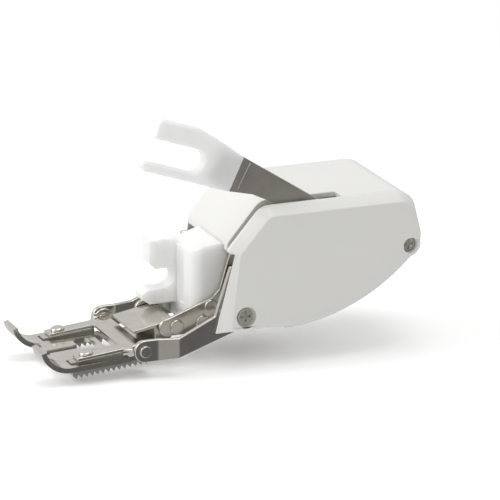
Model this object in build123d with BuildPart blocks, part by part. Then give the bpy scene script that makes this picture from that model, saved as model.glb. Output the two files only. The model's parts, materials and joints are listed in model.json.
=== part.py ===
"""Walking presser foot for a low-shank sewing machine, as separate bench pieces.

Millimetres. X runs to the operator's right, Y to the back, Z up. The origin is on the
presser-bar axis at the height of the clamp screw. Side outlines are drawn as (Y, Z).
"""
import os
from math import cos, radians, sin

from build123d import *

os.makedirs("parts", exist_ok=True)

# Presser bar and clamp screw that the foot is fixed to
bar_radius = 3.0
clamp_screw_radius = 2.0
bar_seat_z = -4.4

# Moulded housing
housing_half_width = 15.0
housing_wall = 1.2
housing_front_y = 5.6
housing_bottom_z = -7.8
housing_top_z = 17.2
housing_rear_y = 48.7
housing_rear_z = 6.5
brow_y = 7.7
brow_z = 9.2
slope_top_y = 14.6
rear_lean = 2.6
belly_start_y = 14.0
belly_mid_inset = 11.7
belly_mid_z = -3.2
shell_edge_radius = 2.4
rear_corner_radius = 5.0
top_corner_radius = 4.0
cover_bevel_face = 1.5
cover_bevel_edge = 2.2
hood_lower_z = 7.5
hood_setback = 1.5
cover_depth = 3.5
slot_width = 3.65
slot_end_y = 32.0
moving_gap = 0.3
cut_margin = 1.0

# Nickel main frame
frame_wall_inner_x = 6.2
frame_sheet = 1.0
frame_rear_y = 20.0
frame_top_z = 11.0
frame_floor = 3.0
frame_nose_y = -3.0
frame_nose_top_z = -5.2
frame_nose_low_z = -8.7
frame_knee_y = 6.2
frame_knee_z = -1.9
frame_knee_length = 1.6
frame_neck_y = 9.8
frame_neck_z = 6.2
frame_crown_y = 13.2
frame_crown_cut = 3.0
frame_heel_y = 4.0

# Nylon presser-bar holder
holder_face = 2.5
holder_back_y = 7.7
holder_top_z = 7.9
holder_bottom_z = -5.0
holder_heel_z = -8.2
holder_crown = 0.9
holder_ridge = 1.5
holder_corner_radius = 2.5
wing_front_y = -3.1
wing_corner_z = 3.4
wing_chamfer = 0.9
lip_front_y = -4.7
lip_height = 1.0
lip_slope = 1.6
rivet_radius = 1.0
rivet_head_radius = 1.4
rivet_head_height = 0.4
rivet_head_rounding = 0.25
lower_rivet_y = 4.2
lower_rivet_z = -6.6
upper_rivet_y = 6.0
upper_rivet_z = -3.6

# Front pillar, which carries the frame and the swinging feed carrier
pillar_y = 10.4
pillar_z = -4.1
pillar_radius = 1.1
block_size = 3.2
running_clearance = 0.05

# Feed carrier, a folded pair of arms with joggled ears
carrier_sheet = 1.0
walk_travel = 3.4
ear_radius = 2.2
joggle_step = 1.0
joggle_front_y = -7.1
joggle_back_y = -3.0
joggle_top_z = -7.2
arm_knee_y = 4.4
arm_knee_z = -3.7
arm_neck_y = 5.3
arm_neck_z = -1.0
arm_crown_y = 7.6
arm_crown_z = 6.0
arm_crown_width = 1.8
arm_saddle_y = 13.2
arm_tail_y = 16.0
arm_tail_z = -3.0
arm_heel_y = 14.0
arm_heel_z = -6.8
arm_belly_y = 8.7
arm_belly_z = -7.2
arm_chin_y = -3.2
arm_chin_z = -11.3
web_front_y = 22.0
web_rear_y = 31.5
web_top_z = 1.6
web_edge = 1.2
spring_tab_inset = 2.0
spring_tab_width = 3.0
spring_tab_height = 3.0
spring_radius = 1.2
spring_wire = 0.4

# Dog frame and its toothed feed dogs
hinge_y = -9.7
hinge_z = -9.4
dog_droop = 5.5
dog_sheet = 0.7
dog_ear_gap = 0.2
dog_ear_radius = 1.9
hinge_rivet_radius = 0.8
hinge_head_radius = 1.2
crossbar_front_y = -13.2
crossbar_shoulder_y = -11.9
crossbar_tail_y = -9.0
leg_top_z = -8.8
leg_front_y = -22.7
leg_inset = 2.4
leg_width = 3.2
leg_rivet_y = -20.4
leg_rivet_radius = 0.7
leg_rivet_depth = 1.5
leg_head_radius = 1.4
leg_head_height = 0.6
leg_head_rounding = 0.42
dog_width = 2.4
dog_front_y = -23.9
tooth_pitch = 1.12
tooth_count = 14
tooth_depth = 0.9
tooth_lean = 0.67
tooth_tip_z = -13.1

# Sole
sole_pivot_y = -1.2
sole_pivot_z = -6.9
sole_pin_radius = 0.9
sole_droop = 3.5
sole_bottom_z = -10.8
sole_thickness = 1.0
sole_rail = 1.5
sole_rear_y = -2.6
rail_rear_y = -12.7
sole_curl_y = -24.7
toe_inner_x = 5.5
toe_curl_radius = 6.0
toe_curl_angle = 78.0
dog_slot_clearance = 0.4
slit_half_width = 1.0
throat_front_y = -25.5
needle_front_y = -19.2
needle_rear_y = -15.6
needle_half_width = 4.4
needle_corner_radius = 1.0
arch_width = 1.0
window_rear_y = -12.6
bracket_sheet = 0.6
bracket_ear_radius = 1.6
bracket_front_y = -9.7
bracket_front_z = -6.7
bracket_web_rear_y = -1.9
bracket_web_rear_z = -5.8

# Needle-bar fork: its sizes run along and across its own tilted gap
fork_thickness = 3.0
fork_gap = 4.8
fork_gap_y = 0.9
fork_gap_z = 27.4
fork_tilt = 19.0
upper_prong = 3.9
upper_prong_length = 9.3
lower_prong = 1.8
lower_prong_length = 10.8
lower_prong_slant = 2.0
prong_corner_radius = 0.8
fork_edge_radius = 0.5
fork_shoulder = 5.4
fork_shoulder_drop = 1.5
fork_root_top = 10.2
fork_root_low = 9.4
fork_root_rise = 3.1
tongue_length = 4.8
tongue_drop = 2.4

# Fork lever on its pivot pin
lever_pivot_y = 32.5
lever_pivot_z = 10.5
lever_pin_radius = 1.5
lever_inset = 1.1
lever_sheet = 1.5
lever_shoulder_y = 27.5
lever_shoulder_z = 16.6
lever_throat_y = 18.0
lever_throat_z = 17.0
lever_chin_y = 13.5
lever_chin_z = 19.2
hub_radius = 4.2
pin_boss_radius = 3.2
pin_boss_length = 2.0
nose_arm = 8.6
nose_angle = 215.0
nose_radius = 1.2
spacer_radius = 2.6
spring_coil_length = 3.4
spring_coil_wire = 0.9

# Cover screws
front_screw_head_radius = 2.0
front_screw_head_height = 0.7
front_counterbore = 0.9
front_screw_length = 5.0
rear_screw_inset = 3.5
rear_screw_z = 6.5
rear_screw_head_radius = 1.5
rear_screw_head_height = 1.0
rear_screw_length = 6.0
rear_seat_wall = 1.0
screw_shank_radius = 0.7
screw_boss_radius = 2.6
recess_length = 2.2
recess_width = 0.5
recess_depth = 0.45

# Places that follow from the sizes above, worked from the housing inwards
housing_inner_x = housing_half_width - housing_wall
rear_top_y = housing_rear_y - rear_lean
belly_mid_y = housing_rear_y - belly_mid_inset
rear_screw_y = housing_rear_y - rear_screw_inset
parting_x = housing_half_width - cover_depth
slot_inner_x = parting_x - slot_width
mouth_depth_y = arm_tail_y + walk_travel
front_seat_x = housing_half_width - front_counterbore
rear_seat_x = parting_x + rear_seat_wall
carrier_arm_outer_x = housing_inner_x - moving_gap
carrier_arm_inner_x = carrier_arm_outer_x - carrier_sheet
ear_outer_x = carrier_arm_outer_x - joggle_step
ear_inner_x = ear_outer_x - carrier_sheet
ear_front_y = hinge_y - ear_radius
dog_ear_outer_x = ear_inner_x - dog_ear_gap
dog_ear_inner_x = dog_ear_outer_x - dog_sheet
crossbar_rear_y = hinge_y - hinge_head_radius - dog_ear_gap
crossbar_tail_x = dog_ear_inner_x - rivet_head_height - dog_ear_gap
leg_centre_x = dog_ear_inner_x - leg_inset
leg_under_z = leg_top_z - dog_sheet
slot_inner_edge = leg_centre_x - dog_width / 2 - dog_slot_clearance
slot_outer_edge = leg_centre_x + dog_width / 2 + dog_slot_clearance
sole_half_width = slot_outer_edge + sole_rail
sole_top_z = sole_bottom_z + sole_thickness
frame_outer_x = frame_wall_inner_x + frame_sheet
bracket_half_width = frame_wall_inner_x - moving_gap
bracket_foot_y = crossbar_tail_y + walk_travel + moving_gap
spring_tab_y = web_rear_y - spring_tab_inset
lever_outer_x = parting_x - lever_inset
lever_inner_x = lever_outer_x - lever_sheet
fork_centre_x = (lever_inner_x + lever_outer_x) / 2
holder_rivets_yz = ((lower_rivet_y, lower_rivet_z), (upper_rivet_y, upper_rivet_z))
hinge_axis = Axis((0, hinge_y, hinge_z), (1, 0, 0))
sole_axis = Axis((0, sole_pivot_y, sole_pivot_z), (1, 0, 0))


def side(x):
    """Plane seen from the right, with sketch axes along Y and Z, at this X."""
    return Plane.YZ.offset(x)


def save(shape, name):
    """Name one finished piece and write its file."""
    shape.label = name
    export_step(shape, f"parts/{name}.step")
    print(name, round(shape.volume, 2), "mm3")


def housing_outline(setback, inset):
    """Side silhouette of one half of the housing, its front set back, moved in by a wall."""
    with BuildSketch(Plane.XY) as outline:
        with BuildLine():
            Polyline(
                (belly_start_y, housing_bottom_z),
                (housing_front_y + setback, housing_bottom_z),
                (brow_y + setback, brow_z),
                (slope_top_y + setback, housing_top_z),
                (rear_top_y, housing_top_z),
                (housing_rear_y, housing_rear_z),
            )
            ThreePointArc(
                (housing_rear_y, housing_rear_z),
                (belly_mid_y, belly_mid_z),
                (belly_start_y, housing_bottom_z),
            )
        make_face()
        fillet(outline.vertices().group_by(Axis.X)[-1], rear_corner_radius)
        fillet(outline.vertices().group_by(Axis.Y)[-1], top_corner_radius)
        if inset:
            offset(amount=-inset, kind=Kind.INTERSECTION, mode=Mode.REPLACE)
    return outline.sketch


shell_side = housing_outline(hood_setback, 0)
shell_hollow = housing_outline(hood_setback, housing_wall)
cover_side = housing_outline(0, 0)
cover_hollow = housing_outline(0, housing_wall)

# Left shell: side, top, set-back hood and bottom in one moulding, open to the right and at its mouth
with BuildPart() as left_shell:
    with BuildSketch(side(-housing_half_width)):
        add(shell_side)
    extrude(amount=housing_half_width + parting_x)
    fillet(left_shell.faces().sort_by(Axis.X)[0].edges(), shell_edge_radius)
    with BuildSketch(side(-housing_inner_x)):
        add(shell_hollow)
    extrude(amount=housing_inner_x + parting_x, mode=Mode.SUBTRACT)
    with BuildSketch(side(-housing_inner_x)):
        with Locations((housing_front_y - cut_margin, housing_bottom_z - cut_margin)):
            Rectangle(
                mouth_depth_y - housing_front_y + cut_margin,
                hood_lower_z - housing_bottom_z + cut_margin,
                align=(Align.MIN, Align.MIN),
            )
    extrude(amount=housing_inner_x + parting_x, mode=Mode.SUBTRACT)
    with BuildSketch(side(slot_inner_x)):
        with Locations((housing_front_y - cut_margin, hood_lower_z)):
            Rectangle(
                slot_end_y - housing_front_y + cut_margin,
                housing_top_z - hood_lower_z + cut_margin,
                align=(Align.MIN, Align.MIN),
            )
    extrude(amount=parting_x - slot_inner_x, mode=Mode.SUBTRACT)
    with BuildSketch(side(-housing_inner_x)):
        with Locations((lever_pivot_y, lever_pivot_z)):
            Circle(pin_boss_radius)
            Circle(lever_pin_radius, mode=Mode.SUBTRACT)
    extrude(amount=pin_boss_length)
    with BuildSketch(side(-housing_inner_x)):
        with Locations((rear_screw_y, rear_screw_z)):
            Circle(screw_boss_radius)
    extrude(amount=housing_inner_x + parting_x)
    with BuildSketch(side(parting_x)):
        with Locations((rear_screw_y, rear_screw_z)):
            Circle(screw_shank_radius)
    extrude(amount=rear_seat_wall - rear_screw_length, mode=Mode.SUBTRACT)

# Right cover: a shallow tray with a broad bevel that closes the shell, open at the front for the arms
with BuildPart() as right_cover:
    with BuildSketch(side(parting_x)):
        add(cover_side)
    extrude(amount=housing_half_width - parting_x)
    cover_face = right_cover.faces().sort_by(Axis.X)[-1]
    chamfer(cover_face.edges(), cover_bevel_face, cover_bevel_edge, reference=cover_face)
    with BuildSketch(side(parting_x)):
        add(cover_hollow)
    extrude(amount=housing_inner_x - parting_x, mode=Mode.SUBTRACT)
    with BuildSketch(side(parting_x)):
        with Locations((housing_front_y - cut_margin, housing_bottom_z - cut_margin)):
            Rectangle(
                mouth_depth_y - housing_front_y + cut_margin,
                hood_lower_z - housing_bottom_z + 2 * cut_margin,
                align=(Align.MIN, Align.MIN),
            )
    extrude(amount=housing_inner_x - parting_x, mode=Mode.SUBTRACT)
    with BuildSketch(side(housing_inner_x)):
        with Locations((lever_pivot_y, lever_pivot_z)):
            Circle(pin_boss_radius)
            Circle(lever_pin_radius, mode=Mode.SUBTRACT)
    extrude(amount=lever_outer_x + 2 * running_clearance - housing_inner_x)
    with BuildSketch(side(housing_inner_x)):
        with Locations((rear_screw_y, rear_screw_z)):
            Circle(screw_boss_radius)
    extrude(amount=parting_x - housing_inner_x)
    with BuildSketch(side(parting_x)):
        with Locations((rear_screw_y, rear_screw_z), (pillar_y, pillar_z)):
            Circle(screw_shank_radius)
    extrude(amount=housing_half_width - parting_x, mode=Mode.SUBTRACT)
    with BuildSketch(side(housing_half_width)):
        with Locations((pillar_y, pillar_z)):
            Circle(front_screw_head_radius + running_clearance)
    extrude(amount=-front_counterbore, mode=Mode.SUBTRACT)
    with BuildSketch(side(housing_half_width)):
        with Locations((rear_screw_y, rear_screw_z)):
            Circle(rear_screw_head_radius + running_clearance)
    extrude(amount=rear_seat_x - housing_half_width, mode=Mode.SUBTRACT)

save(left_shell.part, "left_housing_shell")
save(right_cover.part, "right_housing_cover")



def cover_screw(seat_x, y, z, head_radius, head_height, shank_length):
    """Pan-head screw along X with a crossed recess, seated at the bottom of its counterbore."""
    with BuildPart() as screw:
        with BuildSketch(side(seat_x)):
            with Locations((y, z)):
                Circle(head_radius)
        extrude(amount=head_height)
        fillet(screw.faces().sort_by(Axis.X)[-1].edges(), rivet_head_rounding)
        with BuildSketch(side(seat_x + head_height)):
            with Locations((y, z)):
                Rectangle(recess_length, recess_width)
                Rectangle(recess_width, recess_length)
        extrude(amount=-recess_depth, mode=Mode.SUBTRACT)
        with BuildSketch(side(seat_x)):
            with Locations((y, z)):
                Circle(screw_shank_radius)
        extrude(amount=-shank_length)
    return screw.part


save(cover_screw(front_seat_x, pillar_y, pillar_z, front_screw_head_radius, front_screw_head_height,
                 front_screw_length), "front_cover_screw")
save(cover_screw(rear_seat_x, rear_screw_y, rear_screw_z, rear_screw_head_radius, rear_screw_head_height,
                 rear_screw_length), "rear_cover_screw")

# Front pillar: a steel stud between the two housing walls, tapped for the front screw
with BuildPart() as pillar:
    with BuildSketch(side(-housing_inner_x)):
        with Locations((pillar_y, pillar_z)):
            Circle(pillar_radius)
    extrude(amount=2 * housing_inner_x)
    with BuildSketch(side(housing_inner_x)):
        with Locations((pillar_y, pillar_z)):
            Circle(screw_shank_radius)
    extrude(amount=front_seat_x - front_screw_length - housing_inner_x, mode=Mode.SUBTRACT)

save(pillar.part, "front_pillar")

# Main frame: two nickel side walls joined by a rear web, cut out of one folded sheet
frame_floor_z = housing_bottom_z + frame_floor
frame_nose_radius = (frame_nose_top_z - frame_nose_low_z) / 2
with BuildPart() as frame:
    with BuildSketch(side(-frame_outer_x)):
        with BuildLine():
            Polyline(
                (frame_nose_y, frame_nose_top_z),
                (frame_knee_y, frame_knee_z),
                (frame_knee_y + frame_knee_length, frame_knee_z + frame_knee_length),
                (frame_neck_y, frame_neck_z),
                (frame_crown_y, frame_top_z),
                (frame_rear_y - frame_crown_cut, frame_top_z),
                (frame_rear_y, frame_top_z - frame_crown_cut),
                (frame_rear_y, frame_floor_z),
                (arm_heel_y, frame_floor_z),
                (frame_heel_y, frame_nose_low_z),
                (frame_nose_y, frame_nose_low_z),
            )
            ThreePointArc(
                (frame_nose_y, frame_nose_low_z),
                (frame_nose_y - frame_nose_radius, frame_nose_low_z + frame_nose_radius),
                (frame_nose_y, frame_nose_top_z),
            )
        make_face()
    extrude(amount=2 * frame_outer_x)
    with BuildSketch(Plane.XY.offset(frame_nose_low_z - cut_margin)):
        with Locations((0, frame_rear_y - frame_sheet)):
            Rectangle(
                2 * frame_wall_inner_x,
                frame_rear_y - frame_nose_y + frame_nose_radius + cut_margin,
                align=(Align.CENTER, Align.MAX),
            )
    extrude(amount=frame_top_z - frame_nose_low_z + 2 * cut_margin, mode=Mode.SUBTRACT)
    with BuildSketch(side(-frame_outer_x)):
        with Locations((pillar_y, pillar_z)):
            Circle(pillar_radius)
        with Locations((sole_pivot_y, sole_pivot_z)):
            Circle(sole_pin_radius)
        with Locations(*holder_rivets_yz):
            Circle(rivet_radius)
    extrude(amount=2 * frame_outer_x, mode=Mode.SUBTRACT)

save(frame.part, "main_frame")

# Nylon holder: a block behind the presser bar and a notched wing on its left
with BuildPart() as holder:
    with BuildSketch(side(-frame_wall_inner_x)):
        with BuildLine():
            Polyline(
                (holder_face, holder_heel_z),
                (holder_face, holder_top_z - holder_crown),
                (holder_back_y - holder_crown, holder_top_z + holder_ridge),
                (holder_back_y, holder_top_z - holder_crown),
                (holder_back_y, holder_heel_z),
                close=True,
            )
        make_face()
    extrude(amount=2 * frame_wall_inner_x)
    round_edges = holder.edges().filter_by(Axis.Z).group_by(Axis.X)[-1].sort_by(Axis.Y)[0]
    fillet(round_edges, holder_corner_radius)
    with BuildSketch(side(-frame_wall_inner_x)):
        with BuildLine():
            Polyline(
                (holder_face, holder_top_z),
                (wing_front_y, holder_top_z),
                (wing_front_y, wing_corner_z),
                (wing_front_y + wing_corner_z - clamp_screw_radius, clamp_screw_radius),
                (0, clamp_screw_radius),
            )
            ThreePointArc((0, clamp_screw_radius), (clamp_screw_radius, 0), (0, -clamp_screw_radius))
            Polyline(
                (0, -clamp_screw_radius),
                (wing_front_y, -clamp_screw_radius),
                (lip_front_y, -clamp_screw_radius - wing_chamfer),
                (lip_front_y, -clamp_screw_radius - wing_chamfer - lip_height),
                (lip_front_y + lip_slope, holder_bottom_z),
                (holder_face, holder_bottom_z),
                (holder_face, holder_top_z),
            )
        make_face()
    extrude(amount=frame_wall_inner_x - holder_face)
    with BuildSketch(Plane.XY.offset(bar_seat_z)):
        Circle(bar_radius)
    extrude(amount=holder_top_z + holder_ridge - bar_seat_z, mode=Mode.SUBTRACT)
    with BuildSketch(side(-frame_wall_inner_x)):
        with Locations(*holder_rivets_yz):
            Circle(rivet_radius)
    extrude(amount=2 * frame_wall_inner_x, mode=Mode.SUBTRACT)

save(holder.part, "presser_bar_holder")


def cross_rivet(y, z, radius, head_radius, half_length):
    """Rivet or pin along X with a rounded head outside each wall."""
    with BuildPart() as rivet:
        with BuildSketch(side(-half_length)):
            with Locations((y, z)):
                Circle(radius)
        extrude(amount=2 * half_length)
        for face_x in (-half_length - rivet_head_height, half_length):
            with BuildSketch(side(face_x)):
                with Locations((y, z)):
                    Circle(head_radius)
            extrude(amount=rivet_head_height)
        for head_face in (rivet.faces().sort_by(Axis.X)[0], rivet.faces().sort_by(Axis.X)[-1]):
            fillet(head_face.edges(), rivet_head_rounding)
    return rivet.part


for rivet_name, (rivet_y, rivet_z) in zip(("lower_holder_rivet", "upper_holder_rivet"), holder_rivets_yz):
    save(cross_rivet(rivet_y, rivet_z, rivet_radius, rivet_head_radius, frame_outer_x), rivet_name)
save(cross_rivet(sole_pivot_y, sole_pivot_z, sole_pin_radius, rivet_head_radius, frame_outer_x),
     "sole_hinge_pin")

# Feed carrier: the plan of the folded strips, trimmed to the side outline of the arms
slot_half_height = block_size / 2 + running_clearance
with BuildPart() as carrier:
    with BuildSketch(Plane.XY.offset(hinge_z - ear_radius - cut_margin)):
        with BuildLine():
            Polyline(
                (ear_inner_x, ear_front_y),
                (ear_outer_x, ear_front_y),
                (ear_outer_x, joggle_front_y),
                (carrier_arm_outer_x, joggle_back_y),
                (carrier_arm_outer_x, web_rear_y),
                (carrier_arm_inner_x, web_rear_y),
                (carrier_arm_inner_x, joggle_back_y),
                (ear_inner_x, joggle_front_y),
                close=True,
            )
        make_face()
        mirror(about=Plane.YZ)
    extrude(amount=arm_crown_z - hinge_z + ear_radius + 2 * cut_margin)
    with BuildSketch(side(-carrier_arm_outer_x)):
        with BuildLine():
            Polyline(
                (hinge_y, hinge_z + ear_radius),
                (joggle_back_y, joggle_top_z),
                (arm_knee_y, arm_knee_z),
                (arm_neck_y, arm_neck_z),
                (arm_crown_y, arm_crown_z),
                (arm_crown_y + arm_crown_width, arm_crown_z),
                (arm_saddle_y, web_top_z),
                (web_rear_y, web_top_z),
                (web_rear_y, web_top_z - web_edge),
                (arm_tail_y, arm_tail_z),
                (arm_heel_y, arm_heel_z),
                (arm_belly_y, arm_belly_z),
                (arm_chin_y, arm_chin_z),
                (joggle_front_y, hinge_z - ear_radius),
                (hinge_y, hinge_z - ear_radius),
            )
            ThreePointArc(
                (hinge_y, hinge_z - ear_radius), (ear_front_y, hinge_z), (hinge_y, hinge_z + ear_radius)
            )
        make_face()
        with Locations((pillar_y - walk_travel / 2, pillar_z)):
            Rectangle(walk_travel + 2 * slot_half_height, 2 * slot_half_height, mode=Mode.SUBTRACT)
        with Locations((hinge_y, hinge_z)):
            Circle(hinge_rivet_radius + running_clearance, mode=Mode.SUBTRACT)
    extrude(amount=2 * carrier_arm_outer_x, mode=Mode.INTERSECT)
    with BuildSketch(Plane.XY.offset(web_top_z)):
        with Locations((0, web_front_y)):
            Rectangle(2 * carrier_arm_outer_x, web_rear_y - web_front_y, align=(Align.CENTER, Align.MIN))
    extrude(amount=-carrier_sheet)
    with BuildSketch(Plane.XY.offset(web_top_z)):
        with Locations((0, spring_tab_y)):
            Rectangle(spring_tab_width, carrier_sheet, align=(Align.CENTER, Align.MIN))
    extrude(amount=spring_tab_height)

save(carrier.part, "feed_carrier")

# Nylon slide blocks that turn on the pillar and run in the carrier's long slots
slide_blocks_x = (("left_slide_block", -carrier_arm_outer_x), ("right_slide_block", carrier_arm_inner_x))
for name, block_x in slide_blocks_x:
    with BuildPart() as block:
        with BuildSketch(side(block_x)):
            with Locations((pillar_y, pillar_z)):
                Rectangle(block_size, block_size)
                Circle(pillar_radius + running_clearance, mode=Mode.SUBTRACT)
        extrude(amount=carrier_sheet)
    save(block.part, name)

# Walk spring, drawn between the frame's rear web and the carrier's tab
spring_z = web_top_z + spring_tab_height / 2
with BuildPart() as walk_spring:
    with BuildSketch(Plane.XZ.offset(-frame_rear_y)):
        with Locations((0, spring_z)):
            Circle(spring_radius)
            Circle(spring_radius - spring_wire, mode=Mode.SUBTRACT)
    extrude(amount=-(spring_tab_y - frame_rear_y))

save(walk_spring.part, "walk_spring")

# Dog frame: crossbar, two legs and two ears folded from one sheet, drawn level
with BuildPart() as dog_frame:
    with BuildSketch(Plane.XY.offset(leg_under_z)):
        with BuildLine():
            Polyline(
                (0, crossbar_front_y),
                (leg_centre_x + leg_width / 2, crossbar_front_y),
                (dog_ear_outer_x, crossbar_shoulder_y),
                (dog_ear_outer_x, crossbar_rear_y),
                (crossbar_tail_x, crossbar_rear_y),
                (crossbar_tail_x, crossbar_tail_y),
                (0, crossbar_tail_y),
                close=True,
            )
        make_face()
        mirror(about=Plane.YZ)
        with Locations((leg_centre_x, leg_front_y), (-leg_centre_x, leg_front_y)):
            Rectangle(leg_width, crossbar_rear_y - leg_front_y, align=(Align.CENTER, Align.MIN))
        with Locations((leg_centre_x, leg_rivet_y), (-leg_centre_x, leg_rivet_y)):
            Circle(leg_rivet_radius, mode=Mode.SUBTRACT)
    extrude(amount=dog_sheet)
    for ear_x in (-dog_ear_outer_x, dog_ear_inner_x):
        with BuildSketch(side(ear_x)):
            with Locations((hinge_y, hinge_z)):
                Circle(dog_ear_radius)
            with Locations((hinge_y, leg_under_z)):
                Rectangle(hinge_y - crossbar_shoulder_y, 2 * dog_sheet, align=(Align.MAX, Align.MIN))
            with Locations((hinge_y, hinge_z)):
                Circle(hinge_rivet_radius, mode=Mode.SUBTRACT)
        extrude(amount=dog_sheet)

# Feed dogs: bars with sawtooth undersides, riveted under the legs
dog_length = tooth_count * tooth_pitch
dog_root_z = tooth_tip_z + tooth_depth


def feed_dog(centre_x):
    """One toothed bar, its teeth leaning to the back."""
    heel_z = hinge_z - ear_radius - dog_ear_gap
    outline = [
        (dog_front_y + dog_length, heel_z),
        (crossbar_front_y, heel_z),
        (crossbar_front_y, leg_under_z),
        (dog_front_y, leg_under_z),
    ]
    for tooth in range(tooth_count):
        start_y = dog_front_y + tooth * tooth_pitch
        outline.append((start_y, dog_root_z))
        outline.append((start_y + tooth_lean, tooth_tip_z))
    outline.append((dog_front_y + dog_length, dog_root_z))
    with BuildPart() as dog:
        with BuildSketch(side(centre_x - dog_width / 2)):
            with BuildLine():
                Polyline(*outline, close=True)
            make_face()
        extrude(amount=dog_width)
        with BuildSketch(Plane.XY.offset(leg_under_z)):
            with Locations((centre_x, leg_rivet_y)):
                Circle(leg_rivet_radius)
        extrude(amount=-leg_rivet_depth, mode=Mode.SUBTRACT)
    return dog.part


def leg_rivet(centre_x):
    """Domed rivet that holds one feed dog under its leg."""
    with BuildPart() as rivet:
        with BuildSketch(Plane.XY.offset(leg_under_z - leg_rivet_depth)):
            with Locations((centre_x, leg_rivet_y)):
                Circle(leg_rivet_radius)
        extrude(amount=leg_rivet_depth + dog_sheet)
        with BuildSketch(Plane.XY.offset(leg_top_z)):
            with Locations((centre_x, leg_rivet_y)):
                Circle(leg_head_radius)
        extrude(amount=leg_head_height)
        fillet(rivet.faces().sort_by(Axis.Z)[-1].edges(), leg_head_rounding)
    return rivet.part


def hinge_rivet(sign):
    """Rivet of one ear: fixed in the dog frame's ear, running in the carrier's."""
    with BuildPart() as rivet:
        with BuildSketch(side(sign * dog_ear_inner_x)):
            with Locations((hinge_y, hinge_z)):
                Circle(hinge_rivet_radius)
        extrude(amount=sign * (ear_outer_x + running_clearance - dog_ear_inner_x))
        with BuildSketch(side(sign * (ear_outer_x + running_clearance))):
            with Locations((hinge_y, hinge_z)):
                Circle(hinge_head_radius)
        extrude(amount=sign * rivet_head_height)
        outer_head = rivet.faces().sort_by(Axis((0, 0, 0), (sign, 0, 0)))[-1]
        fillet(outer_head.edges(), rivet_head_rounding)
        with BuildSketch(side(sign * dog_ear_inner_x)):
            with Locations((hinge_y, hinge_z)):
                Circle(hinge_head_radius)
        extrude(amount=-sign * rivet_head_height)
    return rivet.part


save(dog_frame.part.rotate(hinge_axis, dog_droop), "dog_frame")
for side_name, sign in (("left", -1), ("right", 1)):
    save(feed_dog(sign * leg_centre_x).rotate(hinge_axis, dog_droop), f"{side_name}_feed_dog")
    save(leg_rivet(sign * leg_centre_x).rotate(hinge_axis, dog_droop), f"{side_name}_leg_rivet")
    save(hinge_rivet(sign), f"{side_name}_hinge_rivet")

# Sole plate, drawn level: toes curled up, slots for the dogs, slit and needle opening
with BuildPart() as sole:
    with BuildSketch(Plane.XY.offset(sole_bottom_z)):
        with Locations((0, sole_curl_y)):
            Rectangle(2 * sole_half_width, rail_rear_y - sole_curl_y, align=(Align.CENTER, Align.MIN))
        with Locations((0, throat_front_y)):
            Rectangle(2 * toe_inner_x, rail_rear_y - throat_front_y, align=(Align.CENTER, Align.MIN))
        with Locations((0, rail_rear_y)):
            Rectangle(2 * bracket_half_width, sole_rear_y - rail_rear_y, align=(Align.CENTER, Align.MIN))
        for sign in (-1, 1):
            with Locations((sign * leg_centre_x, dog_front_y - dog_slot_clearance)):
                Rectangle(
                    slot_outer_edge - slot_inner_edge,
                    rail_rear_y - dog_front_y + dog_slot_clearance + cut_margin,
                    align=(Align.CENTER, Align.MIN), mode=Mode.SUBTRACT,
                )
        with Locations((0, throat_front_y)):
            Rectangle(2 * slit_half_width, needle_rear_y - throat_front_y - needle_corner_radius,
                      align=(Align.CENTER, Align.MIN), mode=Mode.SUBTRACT)
        with Locations((0, (needle_front_y + needle_rear_y) / 2)):
            RectangleRounded(2 * needle_half_width, needle_rear_y - needle_front_y, needle_corner_radius,
                             mode=Mode.SUBTRACT)
        with Locations((0, needle_rear_y + arch_width)):
            Rectangle(2 * needle_half_width, window_rear_y - needle_rear_y - arch_width,
                      align=(Align.CENTER, Align.MIN), mode=Mode.SUBTRACT)
    extrude(amount=sole_thickness)
    curl_centre_z = sole_bottom_z + toe_curl_radius
    for toe_x in (-sole_half_width, toe_inner_x):
        with BuildSketch(side(toe_x)):
            with BuildLine():
                CenterArc((sole_curl_y, curl_centre_z), toe_curl_radius, 270, -toe_curl_angle)
                CenterArc((sole_curl_y, curl_centre_z), toe_curl_radius - sole_thickness, 270,
                          -toe_curl_angle)
                Line((sole_curl_y, sole_bottom_z), (sole_curl_y, sole_top_z))
                tip = radians(270 - toe_curl_angle)
                Line(
                    (sole_curl_y + toe_curl_radius * cos(tip), curl_centre_z + toe_curl_radius * sin(tip)),
                    (sole_curl_y + (toe_curl_radius - sole_thickness) * cos(tip),
                     curl_centre_z + (toe_curl_radius - sole_thickness) * sin(tip)),
                )
            make_face()
        extrude(amount=sole_half_width - toe_inner_x)

save(sole.part.rotate(sole_axis, sole_droop), "sole_plate")

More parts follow.
